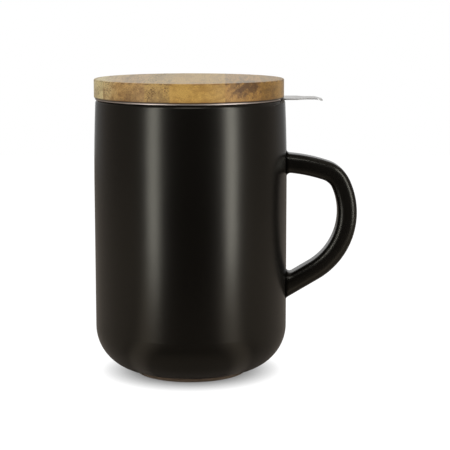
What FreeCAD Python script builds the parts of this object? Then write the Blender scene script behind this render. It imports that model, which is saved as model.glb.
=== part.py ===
import FreeCAD, Part
import math
import os
import Sketcher

# Lidded tea mug with infuser: a stoneware mug with a luted strap handle, a steel
# infuser basket that hangs on the rim, and a turned lid of glued wooden staves.
# Millimetres, +Z up, +X towards the handle. The origin is the centre of the foot
# ring on the table.

doc = FreeCAD.newDocument("TeaMug")
sheet = doc.addObject("Spreadsheet::Sheet", "Sizes")

# Driving dimensions: name, value in millimetres or degrees, what it is
DIMENSIONS = [
    # Mug body
    ("bodyRadius", 43.0, "outside of the straight wall"),
    ("bodyHeight", 123.2, "table to the rim"),
    ("taperDrop", 35.5, "rim down to where the wall starts to lean in"),
    ("rimTaper", 0.8, "how far the wall has leaned in at the rim"),
    ("kneeRadius", 19.5, "outside round between wall and underside"),
    ("footRadius", 25.1, "outside of the foot ring"),
    ("footWidth", 3.8, "foot ring, across its flat"),
    ("footHeight", 1.75, "table to the underside"),
    ("footRound", 0.5, "edge rounds of the foot ring"),
    ("wallThickness", 4.4, "straight wall"),
    ("floorThickness", 5.2, "underside to the inside floor"),
    ("innerKneeRadius", 14.0, "inside round between wall and floor"),
    ("rimOuterRound", 1.8, "outer edge of the rim"),
    ("rimInnerRound", 0.8, "inner edge of the rim"),
    # Handle
    ("handleDrop", 28.3, "rim down to the strap's centre at the upper root"),
    ("handleBasis", 123.2, "height of body that suits the spine's arcs as given below"),
    ("handleThickness", 8.5, "strap, in the plane of the loop"),
    ("handleWidth", 12.6, "strap, across the loop"),
    ("handleCorner", 2.7, "corner rounds of the strap's section"),
    ("handleTopRadius", 71.6, "spine arc along the top run"),
    ("handleTopTurn", 18.2, "degrees turned by the top run"),
    ("handleBendRadius", 11.5, "spine arc at the upper bend"),
    ("handleBendTurn", 46.3, "degrees turned by the upper bend"),
    ("handleGripRadius", 30.5, "spine arc down the grip"),
    ("handleGripTurn", 84.9, "degrees turned by the grip"),
    ("handleRoot", 5.0, "spine's ends behind the face of the wall"),
    ("lutingRadius", 2.0, "clay fillet where the strap meets the wall"),
    ("lutingSeam", 0.2, "how deep that fillet runs out below the wall"),
    # Infuser
    ("sheetThickness", 0.6, "steel sheet of the flange, collar and tab"),
    ("flangeInset", 0.5, "edge of the flange inside the edge of the rim"),
    ("collarPlay", 1.0, "collar to the mouth of the mug, all round"),
    ("collarDepth", 12.0, "rim down to the collar's lower edge"),
    ("collarBend", 1.2, "outside of the bend from flange to collar"),
    ("seatGap", 0.43, "what is left of the play where the collar rests to one side"),
    ("tabReach", 17.4, "tab's end beyond the edge of the flange"),
    ("tabWidth", 20.0, "tab at its root"),
    ("tabShoulder", 6.2, "edge of the flange to where the tab starts to narrow"),
    ("tabShoulderRun", 3.4, "length over which it narrows"),
    ("tabNeckWidth", 13.4, "tab from there to its end"),
    ("tabTipRound", 3.0, "corners of the tab's end"),
    ("tabBendLength", 3.2, "down-turned end of the tab"),
    ("tabBendDrop", 0.75, "how far that end turns down"),
    ("meshThickness", 0.4, "perforated sheet of the sleeve and base"),
    ("weldLap", 2.0, "sleeve inside the collar"),
    ("weldGap", 0.02, "sleeve to collar, and base to sleeve"),
    ("basketDepth", 85.0, "rim down to the underside of the basket"),
    ("sleeveHole", 2.2, "diameter of the sleeve's holes"),
    ("sleeveHolePitch", 7.0, "between rows of those holes"),
    ("sleeveHoleMargin", 8.0, "sleeve's lower edge to the first row"),
    ("baseBend", 1.6, "outside of the base pan's bend"),
    ("baseWall", 5.0, "height of the base pan's turned-up wall"),
    ("baseHole", 2.2, "diameter of the base's holes"),
    ("baseHolePitch", 5.4, "between rings of those holes"),
    # Lid
    ("lidThickness", 8.35, "wooden disc without its plug"),
    ("lidInset", 0.05, "edge of the disc inside the edge of the rim"),
    ("lidTopRound", 0.6, "upper edge of the disc"),
    ("lidBottomRound", 0.5, "lower edge of the disc"),
    ("plugDepth", 9.0, "turned plug below the disc"),
    ("plugGap", 1.1, "plug to the inside of the collar"),
    ("plugRound", 0.8, "lower edge of the plug"),
    ("sealGrooveDepth", 1.6, "groove cut in the plug for the seal"),
    ("sealGrooveDrop", 2.6, "underside of the disc to the groove"),
    ("sealHeight", 3.6, "seal, along its axis"),
    ("sealPlay", 0.08, "seal to the sides of its groove and to the collar"),
    ("sealBand", 1.3, "band of the seal between its lips"),
    ("sealLip", 0.9, "thickness of each lip of the seal"),
    ("edgeStaveLeft", 5.7, "outermost stave on the left, at its widest"),
    ("seamLeft", 17.8, "lid's centre to the second seam on the left"),
    ("seamInnerLeft", 7.2, "lid's centre to the first seam on the left"),
    ("seamInnerRight", 16.1, "lid's centre to the first seam on the right"),
    ("edgeStaveRight", 10.7, "outermost stave on the right, at its widest"),
]

# Counts of repeated holes
SLEEVE_COLUMNS = 24
SLEEVE_ROWS = 8
BASE_RINGS = 5
HOLES_PER_RING_STEP = 6

# Two places nearer than this, in millimetres, are one place
TOUCHING = 1e-3

for row, (name, value, note) in enumerate(DIMENSIONS, start=1):
    sheet.set(f"A{row}", note)
    sheet.set(f"B{row}", str(value))
    sheet.setAlias(f"B{row}", name)
doc.recompute()

SIZE_NAMES = {name for name, value, note in DIMENSIONS}


def size(words):
    """Return the expression with every size name pointing at the sheet."""
    parts = words.split()
    return " ".join(f"Sizes.{part}" if part in SIZE_NAMES else part for part in parts)


def number(words):
    """Return what an expression of sizes comes to now."""
    result = sheet.evalExpression(size(words))
    return float(getattr(result, "Value", result))


# Lengths that follow from the driving ones
MOUTH = "( bodyRadius - wallThickness )"
RIM = "( bodyRadius - rimTaper )"
FLOOR = "( footHeight + floorThickness )"
COLLAR = f"( {MOUTH} - collarPlay )"
COLLAR_INSIDE = f"( {COLLAR} - sheetThickness )"
SLEEVE = f"( {COLLAR_INSIDE} - weldGap )"
SLEEVE_INSIDE = f"( {SLEEVE} - meshThickness )"
BASE = f"( {SLEEVE_INSIDE} - weldGap )"
FLANGE = f"( {RIM} - flangeInset )"
LID = f"( {RIM} - lidInset )"
PLUG = f"( {COLLAR_INSIDE} - plugGap )"
GROOVE_FLOOR = f"( {PLUG} - sealGrooveDepth )"
SEAT_SHIFT = "( seatGap - collarPlay )"


def new_body(label):
    body = doc.addObject("PartDesign::Body", label)
    body.Label = label
    return body


def origin_plane(body, role):
    return [plane for plane in body.Origin.OriginFeatures if plane.Role == role][0]


def new_sketch(body, plane, name):
    """Open a sketch on one of the body's own origin planes."""
    sketch = body.newObject("Sketcher::SketchObject", name)
    sketch.AttachmentSupport = [(origin_plane(body, plane), "")]
    sketch.MapMode = "FlatFace"
    return sketch


def arc_between(start, end, radius, side):
    """Make the short arc from start to end, bulging to the left (1) or right (-1)."""
    chord = end - start
    middle = (start + end) * 0.5
    left = FreeCAD.Vector(-chord.y, chord.x, 0).normalize()
    depth = math.sqrt(max(radius**2 - (chord.Length / 2) ** 2, 0))
    crest = middle + left * side * (radius - depth)
    return Part.Arc(start, crest, end)


def tie_point(sketch, geometry, end, name, across, up):
    """Hold one end of a line or arc at the place given by two expressions."""
    for kind, letter, words, axis in (
        ("DistanceX", "x", across, -2),
        ("DistanceY", "z", up, -1),
    ):
        if words == "0":
            sketch.addConstraint(Sketcher.Constraint("PointOnObject", geometry, end, axis))
            continue
        index = sketch.addConstraint(
            Sketcher.Constraint(kind, -1, 1, geometry, end, number(words))
        )
        sketch.renameConstraint(index, name + letter)
        sketch.setExpression(f"Constraints.{name}{letter}", size(words))


def draw_outline(sketch, corners, closed=True):
    """Draw a chain through corners (across, up[, radius, side of the arc that follows])."""
    count = len(corners)
    places = [FreeCAD.Vector(number(c[0]), number(c[1]), 0) for c in corners]
    edges = []
    for index in range(count if closed else count - 1):
        start, end = places[index], places[(index + 1) % count]
        if len(corners[index]) == 2:
            edges.append((sketch.addGeometry(Part.LineSegment(start, end)), 1, 2))
            continue
        radius, side = corners[index][2:]
        arc = arc_between(start, end, number(radius), side)
        edge = sketch.addGeometry(arc)
        flipped = sketch.getPoint(edge, 1).distanceToPoint(start) > TOUCHING
        edges.append((edge, 2, 1) if flipped else (edge, 1, 2))
        name = f"bend{index}"
        held = sketch.addConstraint(Sketcher.Constraint("Radius", edge, number(radius)))
        sketch.renameConstraint(held, name)
        sketch.setExpression(f"Constraints.{name}", size(radius))
    for index, (edge, first, last) in enumerate(edges):
        tie_point(sketch, edge, first, f"corner{index}", *corners[index][:2])
        if index + 1 < len(edges) or closed:
            following = edges[(index + 1) % len(edges)]
            sketch.addConstraint(
                Sketcher.Constraint("Coincident", edge, last, following[0], following[1])
            )
        else:
            tie_point(sketch, edge, last, f"corner{index + 1}", *corners[-1][:2])
    return edges


def draw_hole(sketch, across, up, diameter, name):
    """Draw a circle and hold its centre and its diameter."""
    centre = FreeCAD.Vector(number(across), number(up), 0)
    circle = Part.Circle(centre, FreeCAD.Vector(0, 0, 1), number(diameter) / 2)
    edge = sketch.addGeometry(circle)
    tie_point(sketch, edge, 3, name, across, up)
    held = sketch.addConstraint(Sketcher.Constraint("Diameter", edge, number(diameter)))
    sketch.renameConstraint(held, name + "Width")
    sketch.setExpression(f"Constraints.{name}Width", size(diameter))


def revolve(body, kind, sketch, name):
    """Turn a sketch of the XZ plane all the way round Z."""
    feature = body.newObject(f"PartDesign::{kind}", name)
    feature.Profile = sketch
    feature.ReferenceAxis = (sketch, ["V_Axis"])
    feature.Angle = 360
    return feature


def bind(thing, **bindings):
    """Bind properties, written with _ for the dot, to expressions of sizes."""
    for path, words in bindings.items():
        thing.setExpression(path.replace("_", "."), size(words))


def volume_of(feature):
    doc.recompute()
    return feature.Shape.Volume


# Mug body
# The wall is straight from the knee to the taper, and the taper is one long arc
# that is tangent to it.
TAPER_RUN = "( taperDrop - rimOuterRound )"
TAPER_ARC = f"( ( {TAPER_RUN} * {TAPER_RUN} + rimTaper * rimTaper ) / ( 2 * rimTaper ) )"
RIM_CORNER = f"( {RIM} - rimOuterRound )"


def outside_of_mug(sketch):
    draw_outline(
        sketch,
        [
            ("0", "footHeight"),
            ("bodyRadius - kneeRadius", "footHeight", "kneeRadius", -1),
            ("bodyRadius", "footHeight + kneeRadius"),
            ("bodyRadius", "bodyHeight - taperDrop", TAPER_ARC, -1),
            (RIM, "bodyHeight - rimOuterRound", "rimOuterRound", -1),
            (RIM_CORNER, "bodyHeight"),
            ("0", "bodyHeight"),
        ],
    )


def make_mug_body():
    body = new_body("mug_body")
    outside = new_sketch(body, "XZ_Plane", "outside_of_body")
    outside_of_mug(outside)
    revolve(body, "Revolution", outside, "thrown_wall")
    foot = new_sketch(body, "XZ_Plane", "foot_section")
    foot_inside = "footRadius - footWidth"
    draw_outline(
        foot,
        [
            (foot_inside, "footHeight + footHeight"),
            (foot_inside, "footRound", "footRound", -1),
            (foot_inside + " + footRound", "0"),
            ("footRadius - footRound", "0", "footRound", -1),
            ("footRadius", "footRound"),
            ("footRadius", "footHeight + footHeight"),
        ],
    )
    solid = revolve(body, "Revolution", foot, "foot_ring")
    before = volume_of(solid)
    inside = new_sketch(body, "XZ_Plane", "inside_of_body")
    above = "bodyHeight + rimInnerRound"
    draw_outline(
        inside,
        [
            ("0", FLOOR),
            (f"{MOUTH} - innerKneeRadius", FLOOR, "innerKneeRadius", -1),
            (MOUTH, f"{FLOOR} + innerKneeRadius"),
            (MOUTH, "bodyHeight - rimInnerRound", "rimInnerRound", 1),
            (f"{MOUTH} + rimInnerRound", "bodyHeight"),
            (f"{MOUTH} + rimInnerRound", above),
            ("0", above),
        ],
    )
    hollow = revolve(body, "Groove", inside, "hollow")
    assert volume_of(hollow) < before / 2
    return body


# Handle
# The strap is swept along a flat spine of three tangent arcs and a straight run, and
# the luting is a fillet against the wall. Both ends are cut to the wall's own shape.
# The spine's arcs grow and shrink with the height of the body.
HANDLE_ROOT = "( bodyRadius - handleRoot )"
HANDLE_TOP = "( bodyHeight - handleDrop )"


def draw_spine(sketch):
    """Draw the spine from inside the upper wall, round the grip, into the lower wall."""
    heading = 0.0
    place = FreeCAD.Vector(number(HANDLE_ROOT), number(HANDLE_TOP), 0)
    previous = None
    for part in ("Top", "Bend", "Grip"):
        sources = {
            "Radius": f"handle{part}Radius * bodyHeight / handleBasis",
            "Angle": f"handle{part}Turn * 1 deg",
        }
        radius = number(sources["Radius"])
        turn = math.radians(number(f"handle{part}Turn"))
        centre = place + FreeCAD.Vector(math.sin(heading), -math.cos(heading), 0) * radius
        first = heading + math.pi / 2
        circle = Part.Circle(centre, FreeCAD.Vector(0, 0, 1), radius)
        arc = sketch.addGeometry(Part.ArcOfCircle(circle, first - turn, first))
        for kind, amount in (("Radius", radius), ("Angle", turn)):
            name = part.lower() + kind
            held = sketch.addConstraint(Sketcher.Constraint(kind, arc, amount))
            sketch.renameConstraint(held, name)
            sketch.setExpression(f"Constraints.{name}", size(sources[kind]))
        if previous is None:
            tie_point(sketch, arc, 2, "root", HANDLE_ROOT, HANDLE_TOP)
            sketch.addConstraint(Sketcher.Constraint("DistanceX", arc, 3, arc, 2, 0))
        else:
            sketch.addConstraint(Sketcher.Constraint("Tangent", previous, 1, arc, 2))
        heading -= turn
        place = centre + FreeCAD.Vector(-math.sin(heading), math.cos(heading), 0) * radius
        previous = arc
    run = (place.x - number(HANDLE_ROOT)) / -math.cos(heading)
    end = place + FreeCAD.Vector(math.cos(heading), math.sin(heading), 0) * run
    line = sketch.addGeometry(Part.LineSegment(place, end))
    sketch.addConstraint(Sketcher.Constraint("Tangent", previous, 1, line, 1))
    inner = sketch.addConstraint(Sketcher.Constraint("DistanceX", -1, 1, line, 2, end.x))
    sketch.renameConstraint(inner, "lowerRoot")
    sketch.setExpression("Constraints.lowerRoot", size(HANDLE_ROOT))


def draw_strap_section(sketch):
    """Draw the rounded rectangle that the spine carries, about the spine's start."""
    wide = "( handleWidth / 2 )"
    thick = "( handleThickness / 2 )"
    flat_wide = "( handleWidth / 2 - handleCorner )"
    flat_thick = "( handleThickness / 2 - handleCorner )"
    corner = "handleCorner"
    draw_outline(
        sketch,
        [
            (f"0 - {flat_wide}", f"{HANDLE_TOP} + {thick}"),
            (flat_wide, f"{HANDLE_TOP} + {thick}", corner, 1),
            (wide, f"{HANDLE_TOP} + {flat_thick}"),
            (wide, f"{HANDLE_TOP} - {flat_thick}", corner, 1),
            (flat_wide, f"{HANDLE_TOP} - {thick}"),
            (f"0 - {flat_wide}", f"{HANDLE_TOP} - {thick}", corner, 1),
            (f"0 - {wide}", f"{HANDLE_TOP} - {flat_thick}"),
            (f"0 - {wide}", f"{HANDLE_TOP} + {flat_thick}", corner, 1),
        ],
    )


def edges_on_core(shape):
    """Name the edges where the strap meets the core, away from its two flat ends."""
    core_radius = number("bodyRadius - lutingSeam")
    names = []
    for index, edge in enumerate(shape.Edges, start=1):
        places = edge.discretize(5)
        on_core = all(abs(math.hypot(p.x, p.y) - core_radius) < TOUCHING for p in places)
        if on_core and all(p.x > 0 and abs(p.y) < core_radius / 2 for p in places):
            names.append(f"Edge{index}")
    return names


def make_mug_handle():
    body = new_body("mug_handle")
    spine = new_sketch(body, "XZ_Plane", "handle_spine")
    draw_spine(spine)
    section = new_sketch(body, "YZ_Plane", "strap_section")
    bind(section, AttachmentOffset_Base_z=HANDLE_ROOT)
    draw_strap_section(section)
    doc.recompute()
    strap = body.newObject("PartDesign::AdditivePipe", "strap")
    strap.Profile = section
    strap.Spine = spine
    core = body.newObject("PartDesign::AdditiveCylinder", "wall_core")
    core_bottom = "footHeight + kneeRadius"
    core_top = f"{HANDLE_TOP} + handleThickness / 2 + 2 * lutingRadius"
    bind(core, Radius="bodyRadius - lutingSeam", Height=f"{core_top} - ( {core_bottom} )")
    core.AttachmentSupport = [(origin_plane(body, "XY_Plane"), "")]
    core.MapMode = "FlatFace"
    seam_at_back = FreeCAD.Rotation(FreeCAD.Vector(0, 0, 1), 180)
    core.AttachmentOffset = FreeCAD.Placement(FreeCAD.Vector(), seam_at_back)
    bind(core, AttachmentOffset_Base_z=core_bottom)
    doc.recompute()
    luting = body.newObject("PartDesign::Fillet", "luting")
    luting.Base = (core, edges_on_core(core.Shape))
    bind(luting, Radius="lutingRadius")
    outside = new_sketch(body, "XZ_Plane", "outside_of_wall")
    outside_of_mug(outside)
    before = volume_of(luting)
    trimmed = revolve(body, "Groove", outside, "cut_to_wall")
    assert volume_of(trimmed) < before
    return body


# Infuser
# Every piece of it is drawn about the basket's own axis with the rim at height 0, and
# is then moved to its seat, where the collar has slid to one side of the mouth.
SEAT = {"Placement_Base_x": SEAT_SHIFT, "Placement_Base_z": "bodyHeight"}


def polar_copies(body, feature, count, name):
    pattern = body.newObject("PartDesign::PolarPattern", name)
    pattern.Originals = [feature]
    pattern.Axis = (origin_plane(body, "Z_Axis"), [""])
    pattern.Angle = 360
    pattern.Occurrences = count
    body.Tip = pattern
    return pattern


def make_infuser_flange():
    """Build the flange, collar and tab, which are one pressed sheet."""
    body = new_body("infuser_flange")
    section = new_sketch(body, "XZ_Plane", "flange_section")
    draw_outline(
        section,
        [
            (COLLAR_INSIDE, "- collarDepth"),
            (COLLAR, "- collarDepth"),
            (COLLAR, "sheetThickness - collarBend", "collarBend - sheetThickness", 1),
            (f"{COLLAR} + collarBend - sheetThickness", "0"),
            (FLANGE, "0"),
            (FLANGE, "sheetThickness"),
            (f"{COLLAR} + collarBend - sheetThickness", "sheetThickness", "collarBend", -1),
            (COLLAR_INSIDE, "sheetThickness - collarBend"),
        ],
    )
    revolve(body, "Revolution", section, "flange_and_collar")
    tab_side = new_sketch(body, "XZ_Plane", "tab_side")
    root = f"{FLANGE} - flangeInset"
    fold = f"{FLANGE} + tabReach - tabBendLength"
    tip = f"{FLANGE} + tabReach"
    draw_outline(
        tab_side,
        [
            (root, "0"),
            (fold, "0"),
            (tip, "- tabBendDrop"),
            (tip, "sheetThickness - tabBendDrop"),
            (fold, "sheetThickness"),
            (root, "sheetThickness"),
        ],
    )
    tab = body.newObject("PartDesign::Pad", "tab")
    tab.Profile = tab_side
    tab.SideType = "Symmetric"
    bind(tab, Length="tabWidth")
    before = volume_of(tab)
    shoulder = f"{FLANGE} + tabShoulder"
    for side, name in ((1, "left"), (-1, "right")):
        corner = new_sketch(body, "XY_Plane", f"tab_{name}_taper")
        sign = "" if side == 1 else "- "
        draw_outline(
            corner,
            [
                (shoulder, f"{sign}( tabWidth / 2 )"),
                (f"{shoulder} + tabShoulderRun", f"{sign}( tabNeckWidth / 2 )"),
                (f"{tip} - tabTipRound", f"{sign}( tabNeckWidth / 2 )", "tabTipRound", side),
                (tip, f"{sign}( tabNeckWidth / 2 - tabTipRound )"),
                (f"{tip} + tabTipRound", f"{sign}( tabNeckWidth / 2 - tabTipRound )"),
                (f"{tip} + tabTipRound", f"{sign}( tabWidth )"),
                (shoulder, f"{sign}( tabWidth )"),
            ],
        )
        taper = body.newObject("PartDesign::Pocket", f"trim_{name}")
        taper.Profile = corner
        taper.Type = "ThroughAll"
        taper.SideType = "Symmetric"
        after = volume_of(taper)
        assert after < before
        before = after
    bind(body, **SEAT)
    return body


def make_infuser_sleeve():
    """Build the perforated wall, welded inside the collar's lower edge."""
    body = new_body("infuser_sleeve")
    top = "weldLap - collarDepth"
    bottom = "baseBend - basketDepth"
    section = new_sketch(body, "XZ_Plane", "sleeve_section")
    draw_outline(
        section,
        [(SLEEVE_INSIDE, bottom), (SLEEVE, bottom), (SLEEVE, top), (SLEEVE_INSIDE, top)],
    )
    solid = revolve(body, "Revolution", section, "rolled_wall")
    before = volume_of(solid)
    for half in range(2):
        drilling = new_sketch(body, "YZ_Plane", f"sleeve_holes_{half + 1}")
        angle = half * 180 / SLEEVE_COLUMNS
        turn = FreeCAD.Rotation(FreeCAD.Vector(0, 1, 0), angle)
        drilling.AttachmentOffset = FreeCAD.Placement(FreeCAD.Vector(), turn)
        bind(
            drilling,
            AttachmentOffset_Base_x=f"( {SLEEVE_INSIDE} - sleeveHole ) * sin( {angle} deg )",
            AttachmentOffset_Base_z=f"( {SLEEVE_INSIDE} - sleeveHole ) * cos( {angle} deg )",
        )
        for row in range(half, SLEEVE_ROWS, 2):
            level = f"{bottom} + sleeveHoleMargin + {row} * sleeveHolePitch"
            draw_hole(drilling, "0", level, "sleeveHole", f"row{row}")
        doc.recompute()
        column = body.newObject("PartDesign::Pocket", f"hole_column_{half + 1}")
        column.Profile = drilling
        column.Type = "Length"
        column.Reversed = True
        bind(column, Length="2 * sleeveHole + meshThickness")
        after = volume_of(column)
        assert after < before
        pattern = polar_copies(body, column, SLEEVE_COLUMNS, f"holes_round_{half + 1}")
        before = volume_of(pattern)
        assert before < after
    bind(body, **SEAT)
    return body


def make_infuser_base():
    """Build the perforated pan, welded inside the sleeve's lower edge."""
    body = new_body("infuser_base")
    under = "- basketDepth"
    section = new_sketch(body, "XZ_Plane", "pan_section")
    draw_outline(
        section,
        [
            ("0", under),
            (f"{BASE} - baseBend", under, "baseBend", -1),
            (BASE, f"{under} + baseBend"),
            (BASE, f"{under} + baseWall"),
            (f"{BASE} - meshThickness", f"{under} + baseWall"),
            (f"{BASE} - meshThickness", f"{under} + baseBend", "baseBend - meshThickness", 1),
            (f"{BASE} - baseBend", f"{under} + meshThickness"),
            ("0", f"{under} + meshThickness"),
        ],
    )
    solid = revolve(body, "Revolution", section, "pressed_pan")
    before = volume_of(solid)
    for ring in range(BASE_RINGS + 1):
        drilling = new_sketch(body, "XY_Plane", f"base_ring_{ring}")
        draw_hole(drilling, f"{ring} * baseHolePitch" if ring else "0", "0", "baseHole", "hole")
        hole = body.newObject("PartDesign::Pocket", f"base_hole_{ring}")
        hole.Profile = drilling
        hole.Type = "ThroughAll"
        after = volume_of(hole)
        assert after < before
        before = after
        if ring:
            pattern = polar_copies(body, hole, ring * HOLES_PER_RING_STEP, f"base_holes_{ring}")
            before = volume_of(pattern)
            assert before < after
    bind(body, **SEAT)
    return body


# Lid
# The panel of glued staves is turned as one: a disc with a plug below it, and a
# groove round the plug for the seal. Heights are above the lid's underside.
LID_SEAT = {"Placement_Base_x": SEAT_SHIFT, "Placement_Base_z": "bodyHeight + sheetThickness"}
GROOVE_TOP = "- sealGrooveDrop"
GROOVE_BOTTOM = "( - sealGrooveDrop - sealHeight - 2 * sealPlay )"


def make_lid_panel():
    """Build the whole turned panel, from which the staves are taken."""
    body = new_body("lid_panel")
    section = new_sketch(body, "XZ_Plane", "lid_section")
    draw_outline(
        section,
        [
            ("0", "- plugDepth"),
            (f"{PLUG} - plugRound", "- plugDepth", "plugRound", -1),
            (PLUG, "plugRound - plugDepth"),
            (PLUG, GROOVE_BOTTOM),
            (GROOVE_FLOOR, GROOVE_BOTTOM),
            (GROOVE_FLOOR, GROOVE_TOP),
            (PLUG, GROOVE_TOP),
            (PLUG, "0"),
            (f"{LID} - lidBottomRound", "0", "lidBottomRound", -1),
            (LID, "lidBottomRound"),
            (LID, "lidThickness - lidTopRound", "lidTopRound", -1),
            (f"{LID} - lidTopRound", "lidThickness"),
            ("0", "lidThickness"),
        ],
    )
    revolve(body, "Revolution", section, "turned_panel")
    bind(body, **LID_SEAT)
    doc.recompute()
    return body


def make_lid_staves(panel):
    """Cut the panel along its glue seams, which run from front to back."""
    seams = [
        f"( 0 - {LID} )",
        f"( edgeStaveLeft - {LID} )",
        "( 0 - seamLeft )",
        "( 0 - seamInnerLeft )",
        "( seamInnerRight )",
        f"( {LID} - edgeStaveRight )",
        LID,
    ]
    staves = []
    for index, (left, right) in enumerate(zip(seams, seams[1:]), start=1):
        block = doc.addObject("Part::Box", f"stave_block_{index}")
        bind(
            block,
            Length=f"{right} - {left}",
            Width=f"2 * {LID}",
            Height="lidThickness + plugDepth",
            Placement_Base_x=f"{SEAT_SHIFT} + {left}",
            Placement_Base_y=f"0 - {LID}",
            Placement_Base_z="bodyHeight + sheetThickness - plugDepth",
        )
        stave = doc.addObject("Part::Common", f"lid_stave_{index}")
        stave.Label = f"lid_stave_{index}"
        stave.Base = panel
        stave.Tool = block
        staves.append(stave)
    return staves


def make_lid_seal():
    """Build the silicone ring: a band in the groove with two lips against the collar."""
    body = new_body("lid_seal")
    inside = f"( {GROOVE_FLOOR} + sealPlay )"
    outside = f"( {COLLAR_INSIDE} - sealPlay )"
    band = f"( {inside} + sealBand )"
    top = f"( {GROOVE_TOP} - sealPlay )"
    bottom = f"( {top} - sealHeight )"
    section = new_sketch(body, "XZ_Plane", "seal_section")
    draw_outline(
        section,
        [
            (inside, bottom),
            (outside, bottom),
            (outside, f"{bottom} + sealLip"),
            (band, f"{bottom} + sealLip"),
            (band, f"{top} - sealLip"),
            (outside, f"{top} - sealLip"),
            (outside, top),
            (inside, top),
        ],
    )
    revolve(body, "Revolution", section, "moulded_ring")
    bind(body, **LID_SEAT)
    return body


def check(things):
    for thing in doc.Objects:
        if "Invalid" in thing.State or "Error" in thing.State:
            raise RuntimeError(f"{thing.Label} did not compute")
    for thing in things:
        if thing.Shape.isNull() or not thing.Shape.isValid():
            raise RuntimeError(f"{thing.Label} has no valid shape")


pieces = [
    make_mug_body(),
    make_mug_handle(),
    make_infuser_flange(),
    make_infuser_sleeve(),
    make_infuser_base(),
    make_lid_seal(),
]
pieces += make_lid_staves(make_lid_panel())
doc.recompute()
check(pieces)

os.makedirs("parts", exist_ok=True)
for piece in pieces:
    box = piece.Shape.optimalBoundingBox()
    print(
        f"{piece.Label}: {len(piece.Shape.Solids)} solid, {piece.Shape.Volume:.1f} mm3,"
        f" x {box.XMin:.2f} to {box.XMax:.2f}, z {box.ZMin:.2f} to {box.ZMax:.2f}"
    )
    piece.Shape.exportStep(f"parts/{piece.Label}.step")
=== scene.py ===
import math

import bpy
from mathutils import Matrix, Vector


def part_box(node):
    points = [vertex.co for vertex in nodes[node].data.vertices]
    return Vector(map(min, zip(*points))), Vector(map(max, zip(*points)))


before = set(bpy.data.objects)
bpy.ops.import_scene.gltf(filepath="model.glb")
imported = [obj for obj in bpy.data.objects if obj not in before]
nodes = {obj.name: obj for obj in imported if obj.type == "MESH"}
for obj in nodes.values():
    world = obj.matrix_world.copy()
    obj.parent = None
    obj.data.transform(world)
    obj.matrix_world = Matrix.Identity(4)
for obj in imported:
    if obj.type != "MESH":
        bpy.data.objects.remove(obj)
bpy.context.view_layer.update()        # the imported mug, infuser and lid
scene = bpy.context.scene
scene.view_settings.view_transform = "Standard"
mm = 0.001
white = (1, 1, 1, 1)
print("frame loaded:", len(nodes), "nodes")


# Helpers for node trees. An input gets a link where its value is a socket

def fillInputs(tree, node, values):
    for key, value in values.items():
        if isinstance(value, bpy.types.NodeSocket):
            tree.links.new(value, node.inputs[key])
        else:
            node.inputs[key].default_value = value
    return node


def addNode(tree, kind, values=None, **settings):
    node = tree.nodes.new("ShaderNode" + kind)
    for name, value in settings.items():
        setattr(node, name, value)
    return fillInputs(tree, node, values or {})


def maths(tree, operation, *values):
    return addNode(tree, "Math", dict(enumerate(values)), operation=operation).outputs[0]


def plus(tree, a, b):
    return maths(tree, "ADD", a, b)


def minus(tree, a, b):
    return maths(tree, "SUBTRACT", a, b)


def times(tree, a, b):
    return maths(tree, "MULTIPLY", a, b)


def scaleAndAdd(tree, value, factor, extra):
    return maths(tree, "MULTIPLY_ADD", value, factor, extra)


def ramp(tree, value, low, high, fromLow, fromHigh):
    # Goes smoothly from low to high while value goes from fromLow to fromHigh
    ends = {"Value": value, "From Min": fromLow, "From Max": fromHigh, "To Min": low, "To Max": high}
    return addNode(tree, "MapRange", ends, interpolation_type="SMOOTHSTEP").outputs[0]


def blendColour(tree, mask, first, second):
    return addNode(tree, "Mix", {0: mask, 6: first, 7: second}, data_type="RGBA").outputs[2]


def blendValue(tree, mask, first, second):
    return addNode(tree, "Mix", {0: mask, 2: first, 3: second}, data_type="FLOAT").outputs[0]


def noise(tree, vector, scale, detail=3.0, rough=0.5):
    values = {"Vector": vector, "Scale": scale, "Detail": detail, "Roughness": rough}
    return addNode(tree, "TexNoise", values).outputs[0]


def splitAxes(tree, vector):
    return addNode(tree, "SeparateXYZ", {0: vector}).outputs


def joinAxes(tree, *values):
    return addNode(tree, "CombineXYZ", dict(enumerate(values))).outputs[0]


def vectorMaths(tree, operation, values, output=0):
    return addNode(tree, "VectorMath", values, operation=operation).outputs[output]


def length(tree, vector):
    return vectorMaths(tree, "LENGTH", {0: vector}, "Value")


def stretched(tree, vector, x, y, z):
    return addNode(tree, "Mapping", {"Vector": vector, "Scale": (x, y, z)}).outputs[0]


def coordinates(tree, kind):
    return addNode(tree, "TexCoord").outputs[kind]


def millimetres(tree):
    # Object coordinates move with the piece, so its pattern does too
    return vectorMaths(tree, "SCALE", {0: coordinates(tree, "Object"), 3: 1 / mm})


def newMaterial(name):
    material = bpy.data.materials.new(name)
    material.use_nodes = True
    tree = material.node_tree
    tree.nodes.clear()
    return material, tree


def newSurface(name):
    material, tree = newMaterial(name)
    shader = addNode(tree, "BsdfPrincipled")
    addNode(tree, "OutputMaterial", {"Surface": shader.outputs[0]})
    return material, tree, shader


def addBump(tree, shader, height, strength, depth, normal=None):
    values = {"Height": height, "Strength": strength, "Distance": depth * mm}
    if normal:
        values["Normal"] = normal
    shaped = addNode(tree, "Bump", values).outputs[0]
    tree.links.new(shaped, shader.inputs["Normal"])


def newGroup(name, inputs, outputs):
    group = bpy.data.node_groups.new(name, "ShaderNodeTree")
    for socket, kind, value in inputs:
        made = group.interface.new_socket(socket, in_out="INPUT", socket_type="NodeSocket" + kind)
        made.default_value = value
    for socket, kind in outputs:
        group.interface.new_socket(socket, in_out="OUTPUT", socket_type="NodeSocket" + kind)
    return group, group.nodes.new("NodeGroupInput").outputs, group.nodes.new("NodeGroupOutput")


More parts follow.
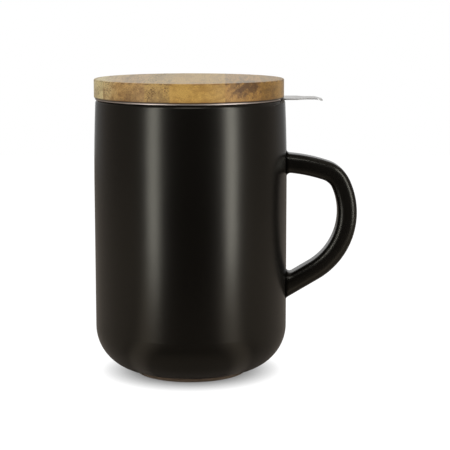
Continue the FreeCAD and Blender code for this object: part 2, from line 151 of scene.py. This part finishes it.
def useGroup(tree, group, values):
    node = tree.nodes.new("ShaderNodeGroup")
    node.node_tree = group
    return fillInputs(tree, node, values).outputs


def shaded(colour, factor):
    return tuple(part * factor for part in colour[:3]) + (1,)


def dress(nodeName, material):
    mesh = nodes[nodeName].data
    mesh.materials.clear()
    mesh.materials.append(material)


# Mug: satin black glaze over tan clay, which the foot ring leaves bare

glaze = {
    "colour": (0.0034, 0.0028, 0.0023, 1),
    "speckColour": (0.006, 0.005, 0.004, 1),
    "sheenTint": (1.0, 0.97, 0.84, 1),
    "index": 1.5,
    "bodyRoughness": 0.26,
    "handleRoughness": 0.27,
    "roughnessSpread": 0.04,
    "handleCrown": 3.0,      # reach of the strap's softened edges, in mm
    "ripple": 0.25,          # depth of the glaze's unevenness, in mm
    "rippleStrength": 0.35,
    "softScale": 0.035,      # scales of the noises, for each mm
    "speckScale": 1.6,
    "gritScale": 2.4,
}
clay = {
    "colour": (0.30, 0.215, 0.145, 1),
    "dark": (0.13, 0.085, 0.055, 1),
    "top": 1.75,             # height of the glaze line above the table, in mm
    "wobble": 0.16,
    "wobbleScale": 0.25,
    "inside": (20.9, 21.2),  # the glaze line at the ring's inner edge, as radii in mm
    "roughness": 0.5,        # added to the glaze's
    "grit": 0.02,
}


def makeClayMask(tree, place):
    axes = splitAxes(tree, place)
    wave = noise(tree, place, clay["wobbleScale"], 2.0)
    glazeLine = scaleAndAdd(tree, wave, clay["wobble"] * 2, clay["top"] - clay["wobble"])
    below = ramp(tree, minus(tree, axes[2], glazeLine), 1.0, 0.0, -0.12, 0.1)
    radius = length(tree, joinAxes(tree, axes[0], axes[1]))
    return times(tree, below, ramp(tree, radius, 0.0, 1.0, *clay["inside"]))


def makeGlaze(name, roughness, crown=0.0):
    material, tree, shader = newSurface(name)
    place = millimetres(tree)
    soft = noise(tree, place, glaze["softScale"], 2.0)
    specks = ramp(tree, noise(tree, place, glaze["speckScale"], 4.0, 0.6), 0.0, 1.0, 0.55, 0.8)
    grit = noise(tree, place, glaze["gritScale"], 5.0, 0.7)
    glazed = blendColour(tree, specks, glaze["colour"], glaze["speckColour"])
    bare = blendColour(tree, ramp(tree, grit, 0.0, 1.0, 0.35, 0.7), clay["colour"], clay["dark"])
    mask = makeClayMask(tree, place)
    spread = glaze["roughnessSpread"]
    gloss = scaleAndAdd(tree, soft, spread, roughness - spread / 2)
    fillInputs(tree, shader, {
        "Base Color": blendColour(tree, mask, glazed, bare),
        "Roughness": scaleAndAdd(tree, mask, clay["roughness"], gloss),
        "IOR": glaze["index"],
        "Specular Tint": glaze["sheenTint"],
    })
    normal = None
    if crown:       # thick glaze softens the strap's faces towards its edges
        normal = addNode(tree, "Bevel", {"Radius": crown * mm}, samples=16).outputs[0]
    relief = plus(tree, soft, times(tree, grit, clay["grit"]))
    addBump(tree, shader, relief, glaze["rippleStrength"], glaze["ripple"], normal)
    return material


dress("mug_body", makeGlaze("body_glaze", glaze["bodyRoughness"]))
dress("mug_handle", makeGlaze("handle_glaze", glaze["handleRoughness"], glaze["handleCrown"]))
print("mug glazed")


# Lid: oiled hardwood staves, with their end grain at the front. Lengths are in mm

wood = {
    "stretch": 0.1,          # below 1, patterns are drawn out from front to back
    "fibreStretch": 0.03,
    "poreStretch": 0.09,
    "broadScale": 0.07,      # scales of the noises, for each mm
    "ringFadeScale": 0.13,
    "gatherScale": 0.2,
    "blotchScale": 0.26,
    "rippleScale": 0.45,
    "frayScale": 0.5,
    "poreScale": 1.7,
    "fibreScale": 2.2,
    "ringToneScale": 7.3,
    "ripple": 1.3,
    "ringSharpness": 2.2,
    "fibreDarkness": 0.85,
    "poreDarkness": 0.7,
    "patchShape": (0.13, 0.06, 0.24),
    "fray": 4.5,
    "sapwoodRagged": 14.0,
    "sapwoodFade": 7.0,
    # painted shadow in the gap between the lid and the flange below it
    "paintedGapShadowColour": (0.02, 0.010, 0.004, 1),
    "roughness": 0.42,
    "fibreRoughness": 0.16,
    "poreRoughness": 0.12,
    "sheen": 0.35,
    "sheenRoughness": 0.4,
    "sheenTint": (1.0, 1.0, 0.9, 1),
    "relief": 0.08,
    "reliefStrength": 0.5,
}


def drawRings(tree, take, axes, along):
    across = minus(tree, axes[0], take["Pith X"])
    up = minus(tree, axes[2], take["Pith Z"])
    radius = maths(tree, "SQRT", plus(tree, times(tree, across, across), times(tree, up, up)))
    broad = noise(tree, along, wood["broadScale"], 2.0)
    wander = times(tree, minus(tree, broad, 0.5), take["Wander"])
    ripple = times(tree, noise(tree, along, wood["rippleScale"], 4.0, 0.6), wood["ripple"])
    phase = maths(tree, "DIVIDE", plus(tree, plus(tree, radius, wander), ripple), take["Ring Width"])
    count = joinAxes(tree, maths(tree, "FLOOR", phase), take["Seed"])      # gives each ring a tone
    tone = ramp(tree, noise(tree, count, wood["ringToneScale"], 0.0), 0.1, 0.9, 0.35, 0.65)
    late = times(tree, maths(tree, "POWER", maths(tree, "FRACT", phase), wood["ringSharpness"]), tone)
    fade = ramp(tree, noise(tree, along, wood["ringFadeScale"], 2.0), 0.2, 1.0, 0.4, 0.6)
    return times(tree, times(tree, late, fade), take["Rings"])


def drawPores(tree, take, moved, along):
    gather = ramp(tree, noise(tree, along, wood["gatherScale"]), 0.15, 1.0, 0.4, 0.62)
    vector = stretched(tree, moved, 1.0, wood["poreStretch"], 1.0)
    cells = addNode(tree, "TexVoronoi", {"Vector": vector, "Scale": wood["poreScale"]})
    outside = minus(tree, cells.outputs["Distance"], times(tree, gather, take["Pores"]))
    return ramp(tree, outside, 1.0, 0.0, -0.12, 0.06)


def drawSapwood(tree, take, axes, blotch):
    ragged = times(tree, minus(tree, blotch, 0.5), wood["sapwoodRagged"])
    beyond = plus(tree, minus(tree, axes[0], take["Sapwood To"]), ragged)
    return ramp(tree, beyond, 0.75, 0.0, -wood["sapwoodFade"], 0.0)


def drawPatch(tree, take, place, along):
    reach = vectorMaths(tree, "SUBTRACT", {0: place, 1: take["Patch"]})
    distance = length(tree, stretched(tree, reach, *wood["patchShape"]))
    fray = minus(tree, noise(tree, along, wood["frayScale"], 5.0, 0.65), 0.5)
    frayed = scaleAndAdd(tree, fray, wood["fray"], distance)
    return times(tree, ramp(tree, frayed, 1.0, 0.0, 0.0, 1.3), take["Patch Amount"])


def drawEdges(tree, take, height, moved):
    # The disc's flat faces stay clear of the darkening at its edges and of the painted gap shadow below
    fromLow = minus(tree, height, take["Low"])
    fromHigh = minus(tree, take["High"], height)
    overUnderside = ramp(tree, fromLow, 0.0, 1.0, 0.02, 0.1)
    underTop = ramp(tree, fromHigh, 0.0, 1.0, 0.1, 0.3)
    # Darker towards the lower edge
    lowEdgeDarkening = times(tree, ramp(tree, fromLow, 0.75, 0.0, 0.2, 1.1), overUnderside)
    highOil = times(tree, ramp(tree, fromHigh, 1.0, 0.0, 0.3, 0.9), underTop)
    broken = ramp(tree, noise(tree, moved, wood["frayScale"]), 0.0, 0.8, 0.42, 0.6)
    # Painted shadow of the gap: a dark line along the lid's lower edge
    paintedGapShadow = times(tree, ramp(tree, fromLow, 0.9, 0.0, 0.25, 0.5), overUnderside)
    return maths(tree, "MAXIMUM", lowEdgeDarkening, times(tree, highOil, broken)), paintedGapShadow


def makeWoodGroup():
    group, take, result = newGroup(
        "staveGrain",
        [("Pith X", "Float", 0.0), ("Pith Z", "Float", 0.0), ("Ring Width", "Float", 2.0),
         ("Wander", "Float", 3.0), ("Seed", "Float", 0.0), ("Pores", "Float", 0.5),
         ("Blotch", "Float", 0.5), ("Rings", "Float", 0.5), ("Light", "Color", (0.5, 0.3, 0.1, 1)),
         ("Dark", "Color", (0.3, 0.15, 0.05, 1)), ("Stain", "Color", (0.2, 0.1, 0.05, 1)),
         ("Patch", "Vector", (0.0, 0.0, 0.0)), ("Patch Amount", "Float", 0.0),
         ("Low", "Float", 0.0), ("High", "Float", 1.0),
         ("Sapwood", "Color", (0.7, 0.56, 0.26, 1)), ("Sapwood To", "Float", -99.0)],
        [("Color", "Color"), ("Roughness", "Float"), ("Height", "Float")],
    )
    place = millimetres(group)
    axes = splitAxes(group, place)
    seed = joinAxes(group, take["Seed"], take["Seed"], take["Seed"])
    moved = vectorMaths(group, "ADD", {0: place, 1: seed})
    along = stretched(group, moved, 1.0, wood["stretch"], 1.0)
    threads = stretched(group, moved, 1.0, wood["fibreStretch"], 1.0)
    fibre = noise(group, threads, wood["fibreScale"], 4.0, 0.7)
    blotch = noise(group, along, wood["blotchScale"], 5.0, 0.62)
    rings = drawRings(group, take, axes, along)
    pores = drawPores(group, take, moved, along)
    edgeDarkening, paintedGapShadow = drawEdges(group, take, axes[2], moved)

    # Each layer goes over the ones before it
    colour = blendColour(group, drawSapwood(group, take, axes, blotch), take["Light"], take["Sapwood"])
    layers = (
        (rings, take["Dark"]),
        (times(group, ramp(group, blotch, 0.0, 1.0, 0.44, 0.66), take["Blotch"]), take["Dark"]),
        (ramp(group, fibre, 0.0, wood["fibreDarkness"], 0.46, 0.68), take["Dark"]),
        (times(group, pores, wood["poreDarkness"]), take["Stain"]),
        (drawPatch(group, take, place, along), take["Stain"]),
        (edgeDarkening, take["Stain"]),
        (paintedGapShadow, wood["paintedGapShadowColour"]),
    )
    for mask, shade in layers:
        colour = blendColour(group, mask, colour, shade)
    rough = scaleAndAdd(group, fibre, wood["fibreRoughness"], wood["roughness"])
    relief = plus(group, times(group, fibre, 0.5), times(group, rings, 0.3))
    fillInputs(group, result, {
        "Color": colour,
        "Roughness": scaleAndAdd(group, pores, wood["poreRoughness"], rough),
        "Height": minus(group, relief, times(group, pores, 0.8)),
    })
    return group


woodGroup = makeWoodGroup()
discLow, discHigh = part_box("lid_stave_1")        # the outermost stave has no plug
discBottom, discTop = discLow.z / mm, discHigh.z / mm
discMiddle = (discBottom + discTop) / 2

# One entry for each stave, from left to right
staves = {
    "lid_stave_1": {
        "Rings": 0.4, "Pith X": -60, "Pith Z": discMiddle - 22, "Ring Width": 2.6, "Wander": 3,
        "Seed": 11, "Pores": 0.36, "Blotch": 0.75, "Light": (0.756, 0.61, 0.278, 1),
        "Dark": (0.366, 0.242, 0.089, 1), "Stain": (0.153, 0.088, 0.032, 1),
    },
    "lid_stave_2": {
        "Rings": 0.3, "Pith X": -8, "Pith Z": discMiddle + 34, "Ring Width": 2.2, "Wander": 6,
        "Seed": 37, "Pores": 0.34, "Blotch": 0.8, "Light": (0.589, 0.355, 0.116, 1),
        "Dark": (0.287, 0.144, 0.038, 1), "Stain": (0.125, 0.054, 0.015, 1),
        "Patch": (-24, -36, discMiddle - 2.6), "Patch Amount": 0.5, "Sapwood To": -30,
    },
    "lid_stave_3": {
        "Rings": 0.35, "Pith X": 10, "Pith Z": discMiddle + 26, "Ring Width": 1.8, "Wander": 4,
        "Seed": 5, "Pores": 0.52, "Blotch": 0.55, "Light": (0.567, 0.351, 0.092, 1),
        "Dark": (0.276, 0.149, 0.034, 1), "Stain": (0.112, 0.051, 0.013, 1),
        "Patch": (-11, -42, discMiddle - 3.4), "Patch Amount": 0.45,
    },
    "lid_stave_4": {
        "Rings": 0.8, "Pith X": 4, "Pith Z": discMiddle + 58, "Ring Width": 2.2, "Wander": 4,
        "Seed": 71, "Pores": 0.24, "Blotch": 0.5, "Light": (0.616, 0.373, 0.089, 1),
        "Dark": (0.356, 0.179, 0.031, 1), "Stain": (0.218, 0.09, 0.017, 1),
        "Patch": (9, -41, discMiddle + 2.4), "Patch Amount": 0.3,
    },
    "lid_stave_5": {
        "Rings": 0.9, "Pith X": 70, "Pith Z": discMiddle - 27, "Ring Width": 3.6, "Wander": 4,
        "Seed": 23, "Pores": 0.34, "Blotch": 0.7, "Light": (0.522, 0.278, 0.059, 1),
        "Dark": (0.224, 0.101, 0.02, 1), "Stain": (0.092, 0.037, 0.008, 1),
        "Patch": (25, -34, discMiddle + 2.0), "Patch Amount": 0.85,
    },
    "lid_stave_6": {
        "Rings": 0.8, "Pith X": 80, "Pith Z": discMiddle - 32, "Ring Width": 2.9, "Wander": 4,
        "Seed": 93, "Pores": 0.3, "Blotch": 0.7, "Light": (0.462, 0.247, 0.046, 1),
        "Dark": (0.212, 0.101, 0.016, 1), "Stain": (0.097, 0.043, 0.009, 1),
        "Patch": (32, -26, discMiddle), "Patch Amount": 0.4,
    },
}


def makeStaveWood(nodeName, values):
    material, tree, shader = newSurface(nodeName + "_wood")
    grain = useGroup(tree, woodGroup, {**values, "Low": discBottom, "High": discTop})
    fillInputs(tree, shader, {
        "Base Color": grain["Color"],
        "Roughness": grain["Roughness"],
        "Sheen Weight": wood["sheen"],
        "Sheen Roughness": wood["sheenRoughness"],
        "Sheen Tint": wood["sheenTint"],
    })
    addBump(tree, shader, grain["Height"], wood["reliefStrength"], wood["relief"])
    return material


for nodeName, values in staves.items():
    dress(nodeName, makeStaveWood(nodeName, values))
print("lid staves finished:", len(staves))


# Infuser: brushed stainless sheet

steel = {
    "flangeColour": (0.68, 0.665, 0.64, 1),
    "flangeRoughness": 0.2,
    "meshColour": (0.60, 0.59, 0.58, 1),
    "meshRoughness": 0.3,
    "smear": 0.86,           # how dark the smears of handling are
    "lineScale": 6.0,
    "lineStretch": 0.05,
    "lineRoughness": 0.08,
    "smearScale": 0.08,
    "smearRoughness": 0.12,
    "relief": 0.02,
    "reliefStrength": 0.15,
}
sheetEdge = {
    # the cut edge is duller than the sheet, and warm as a painted reflection of the wooden lid
    "colour": (0.60, 0.53, 0.48, 1),
    "roughness": 0.18,       # added where the sheet was cut
    # painted shade along the cut edge's top, close under the lid
    "paintedShadeColour": (0.05, 0.04, 0.03, 1),
    "paintedShadeAmount": 0.85,      # the upper edge, close under the lid
    "tabColour": (0.62, 0.62, 0.61, 1),
    "tabDullness": 0.75,
}


def makeBrushGroup():
    group, take, result = newGroup(
        "brushing",
        [("Line Scale", "Float", 6.0), ("Base Roughness", "Float", 0.25)],
        [("Roughness", "Float"), ("Height", "Float"), ("Smear", "Float")],
    )
    place = millimetres(group)
    drawn = stretched(group, place, steel["lineStretch"], steel["lineStretch"], 1.0)
    lines = noise(group, drawn, take["Line Scale"], 4.0, 0.7)
    smear = noise(group, place, steel["smearScale"])
    rough = scaleAndAdd(group, smear, steel["smearRoughness"], take["Base Roughness"])
    fillInputs(group, result, {
        "Roughness": scaleAndAdd(group, lines, steel["lineRoughness"], rough),
        "Height": lines,
        "Smear": smear,
    })
    return group


brushGroup = makeBrushGroup()


def cutFlangeEdge(tree, axes, tint, rough):
    flangeLow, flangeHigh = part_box("infuser_flange")
    radius, height = flangeHigh.y / mm, flangeHigh.z / mm
    centre = flangeLow.x / mm + radius
    away = length(tree, joinAxes(tree, minus(tree, axes[0], centre), axes[1]))
    cut = ramp(tree, maths(tree, "ABSOLUTE", minus(tree, away, radius)), 1.0, 0.0, 0.03, 0.08)
    # The cut edge: duller, with a warm painted reflection of the lid
    tint = blendColour(tree, cut, tint, sheetEdge["colour"])
    rough = scaleAndAdd(tree, cut, sheetEdge["roughness"], rough)
    # Painted shade on the top of the cut edge, under the lid's overhang
    paintedShadeBand = ramp(tree, axes[2], 0.0, sheetEdge["paintedShadeAmount"], height - 0.22, height - 0.1)
    return blendColour(tree, times(tree, cut, paintedShadeBand), tint, sheetEdge["paintedShadeColour"]), rough, centre + radius


def dullTabSides(tree, axes, tabStart):
    upward = splitAxes(tree, coordinates(tree, "Normal"))[2]
    side = ramp(tree, maths(tree, "ABSOLUTE", upward), 1.0, 0.0, 0.3, 0.8)
    return times(tree, side, ramp(tree, axes[0], 0.0, 1.0, tabStart + 0.5, tabStart + 2.0))


def makeSteel(name, colour, roughness, isFlange=False):
    material, tree, shader = newSurface(name)
    brushed = useGroup(tree, brushGroup, {"Line Scale": steel["lineScale"], "Base Roughness": roughness})
    tint = blendColour(tree, brushed["Smear"], colour, shaded(colour, steel["smear"]))
    rough = brushed["Roughness"]
    metallic = 1.0
    if isFlange:
        axes = splitAxes(tree, millimetres(tree))
        tint, rough, tabStart = cutFlangeEdge(tree, axes, tint, rough)
        dull = dullTabSides(tree, axes, tabStart)
        tint = blendColour(tree, dull, tint, sheetEdge["tabColour"])
        metallic = scaleAndAdd(tree, dull, -sheetEdge["tabDullness"], 1.0)
    fillInputs(tree, shader, {"Base Color": tint, "Roughness": rough, "Metallic": metallic})
    addBump(tree, shader, brushed["Height"], steel["reliefStrength"], steel["relief"])
    return material


dress("infuser_flange", makeSteel("flange_steel", steel["flangeColour"], steel["flangeRoughness"], True))
meshSteel = makeSteel("mesh_steel", steel["meshColour"], steel["meshRoughness"])
for nodeName in ("infuser_sleeve", "infuser_base"):
    dress(nodeName, meshSteel)
print("infuser finished")


# Seal: soft cloudy silicone

silicone = {
    "colour": (0.74, 0.73, 0.68, 1),
    "cloud": 0.9,
    "roughness": 0.42,
    "roughnessSpread": 0.1,
    "softness": 0.3,
    "lightReach": (1.5, 1.4, 1.2),   # how far light goes into it, in mm
    "cloudScale": 0.15,
    "grainScale": 3.0,
    "relief": 0.03,
    "reliefStrength": 0.15,
}


def makeSilicone():
    material, tree, shader = newSurface("seal_silicone")
    place = millimetres(tree)
    cloud = noise(tree, place, silicone["cloudScale"])
    grain = noise(tree, place, silicone["grainScale"])
    colour = silicone["colour"]
    fillInputs(tree, shader, {
        "Base Color": blendColour(tree, cloud, colour, shaded(colour, silicone["cloud"])),
        "Roughness": scaleAndAdd(tree, cloud, silicone["roughnessSpread"], silicone["roughness"]),
        "Subsurface Weight": silicone["softness"],
        "Subsurface Radius": [reach * mm for reach in silicone["lightReach"]],
    })
    addBump(tree, shader, grain, silicone["reliefStrength"], silicone["relief"])
    return material


dress("lid_seal", makeSilicone())
print("seal finished")


# Floor: white to the camera with a painted soft contact shadow, and dimmer to the glaze, with painted light
# under the strip lamps and near the mug

floorLook = {
    "front": 0.22,           # reach from the mug's axis, in metres
    "side": 0.6,
    "back": 0.9,
    "glow": 0.97,
    "cameraShade": 0.15,     # the part that the lamps light
    # reach of the painted contact shadow, in metres
    "contact": 0.008,
    "contactPower": 0.5,
    "warm": (1.0, 0.87, 0.75, 1),
    "frontShade": 0.15,
    "sideShade": 0.4,
    "sideSpan": (-0.8, -0.3),        # headings, from -1 in front to 1 behind
    # painted light on the floor below the strip lamps
    "paintedStripLight": 0.85,              # below the strip lamps
    "stripHeading": 0.7,
    "stripSpan": (0.02, 0.26),
    # painted light on the floor near the mug, where its shadow falls
    "paintedNearLight": 0.42,
    "nearSpan": (0.04, 0.085),       # in metres from the axis
}


# As reflections see it, the floor is darker in front than at the sides, with painted light under the strips
# and near the mug
def makeFloorShade(tree, isCamera):
    place = coordinates(tree, "Object")
    forward = splitAxes(tree, vectorMaths(tree, "NORMALIZE", {0: place}))[1]
    shade = ramp(tree, forward, floorLook["frontShade"], floorLook["sideShade"], *floorLook["sideSpan"])
    near = ramp(tree, length(tree, place), floorLook["paintedNearLight"], 0.0, *floorLook["nearSpan"])
    fromStrip = maths(tree, "ABSOLUTE", plus(tree, forward, floorLook["stripHeading"]))
    strip = ramp(tree, fromStrip, floorLook["paintedStripLight"], 0.0, *floorLook["stripSpan"])
    shade = maths(tree, "MAXIMUM", maths(tree, "MAXIMUM", shade, near), strip)
    shade = blendValue(tree, isCamera, shade, floorLook["cameraShade"])
    tone = blendColour(tree, isCamera, floorLook["warm"], white)
    return vectorMaths(tree, "SCALE", {0: tone, 3: shade})


def makeFloorMaterial():
    material, tree = newMaterial("floor_white")
    isCamera = addNode(tree, "LightPath").outputs["Is Camera Ray"]
    lit = addNode(tree, "BsdfDiffuse", {"Color": makeFloorShade(tree, isCamera)})
    # Painted contact shadow: the glow to the camera dims where ambient occlusion finds the mug close by
    nearness = addNode(tree, "AmbientOcclusion", {"Distance": floorLook["contact"]}).outputs["AO"]
    glowing = times(tree, maths(tree, "POWER", nearness, floorLook["contactPower"]), floorLook["glow"])
    glow = addNode(tree, "Emission", {"Color": white, "Strength": times(tree, isCamera, glowing)})
    both = addNode(tree, "AddShader", {0: lit.outputs[0], 1: glow.outputs[0]})
    addNode(tree, "OutputMaterial", {"Surface": both.outputs[0]})
    return material


def makeFloor():
    side, front, back = floorLook["side"], -floorLook["front"], floorLook["back"]
    mesh = bpy.data.meshes.new("floor")
    corners = [(-side, front, 0), (side, front, 0), (side, back, 0), (-side, back, 0)]
    mesh.from_pydata(corners, [], [(0, 1, 2, 3)])
    mesh.materials.append(makeFloorMaterial())
    floor = bpy.data.objects.new("floor", mesh)
    scene.collection.objects.link(floor)


# World: white to the camera, and a room that is dim in front for reflections and light

room = {
    "front": 0.02,                   # brightness that reflections see
    "sides": 0.2,
    "back": 0.34,
    "backdrop": 0.9,
    "sideSpan": (-0.78, -0.3),       # headings, from -1 in front to 1 behind
    "backSpan": (0.1, 1.0),
    "backdropSpan": (0.88, 1.0),
    "warm": (1.0, 0.88, 0.78, 1),
    "warmSpan": (0.4, 0.9),
    "fillFront": 0.16,               # brightness that lights the mug
    "fillSides": 0.62,
    "fillSpan": (-0.7, 0.1),
}


def makeWorld():
    world = bpy.data.worlds.new("studio")
    scene.world = world
    world.use_nodes = True
    tree = world.node_tree
    tree.nodes.clear()
    paths = addNode(tree, "LightPath").outputs
    isGlossy = paths["Is Glossy Ray"]
    forward = splitAxes(tree, coordinates(tree, "Generated"))[1]
    sides = ramp(tree, forward, room["front"], room["sides"], *room["sideSpan"])
    behind = ramp(tree, forward, 0.0, room["back"] - room["sides"], *room["backSpan"])
    backdrop = ramp(tree, forward, 0.0, room["backdrop"] - room["back"], *room["backdropSpan"])
    around = plus(tree, plus(tree, sides, behind), backdrop)
    fill = ramp(tree, forward, room["fillFront"], room["fillSides"], *room["fillSpan"])
    strength = maths(tree, "MAXIMUM", blendValue(tree, isGlossy, fill, around), paths["Is Camera Ray"])
    warm = times(tree, ramp(tree, forward, 1.0, 0.0, *room["warmSpan"]), isGlossy)
    tone = blendColour(tree, warm, white, room["warm"])
    light = addNode(tree, "Background", {"Color": tone, "Strength": strength})
    addNode(tree, "OutputWorld", {"Surface": light.outputs[0]})


# Lamps: two tall strips that draw the glaze's highlights, and two weak ones from above
# Azimuth 0 is in front of the mug and 90 on the handle's side. Lengths are in metres

lamps = {
    "strip_left": {"azimuth": -42.4, "distance": 0.95, "height": 0.05, "aim": 0.05,
                   "size": (0.21, 1.5), "power": 5.1},
    "strip_right": {"azimuth": 49.2, "distance": 0.95, "height": 0.05, "aim": 0.05,
                    "size": (0.2, 1.5), "power": 6.2},
    "overhead": {"azimuth": 180, "distance": 0.15, "height": 0.9, "aim": 0.1,
                 "size": (0.5, 0.35), "power": 0.9},
    "front_high": {"azimuth": 0, "distance": 0.78, "height": 0.74, "aim": 0.1,
                   "size": (0.5, 0.16), "power": 1.1},
}


def addLamp(name, values):
    turn = math.radians(values["azimuth"])
    out = values["distance"]
    place = Vector((math.sin(turn) * out, -math.cos(turn) * out, values["height"]))
    light = bpy.data.lights.new(name, "AREA")
    light.shape = "RECTANGLE"
    light.size, light.size_y = values["size"]
    light.energy = values["power"]
    lamp = bpy.data.objects.new(name, light)
    lamp.location = place
    lamp.rotation_mode = "QUATERNION"
    lamp.rotation_quaternion = (Vector((0, 0, values["aim"])) - place).to_track_quat("-Z", "Y")
    scene.collection.objects.link(lamp)


makeFloor()
makeWorld()
for name, values in lamps.items():
    addLamp(name, values)
print("floor, world and lamps placed")


# Camera at the photograph's viewing angle

view = {
    "place": (15.383, -667.31, 169.65),   # in mm
    "pitch": 8.804,                       # degrees below level
    "lens": 120.0,
    "sensor": 36.0,
    "nearest": 0.05,                      # where the view starts, in metres
}


def makeCamera():
    data = bpy.data.cameras.new("camera")
    data.lens = view["lens"]
    data.sensor_width = view["sensor"]
    data.clip_start = view["nearest"]
    camera = bpy.data.objects.new("camera", data)
    camera.location = Vector(view["place"]) * mm
    camera.rotation_euler = (math.radians(90 - view["pitch"]), 0, 0)
    scene.collection.objects.link(camera)
    scene.camera = camera


makeCamera()
print("camera placed")
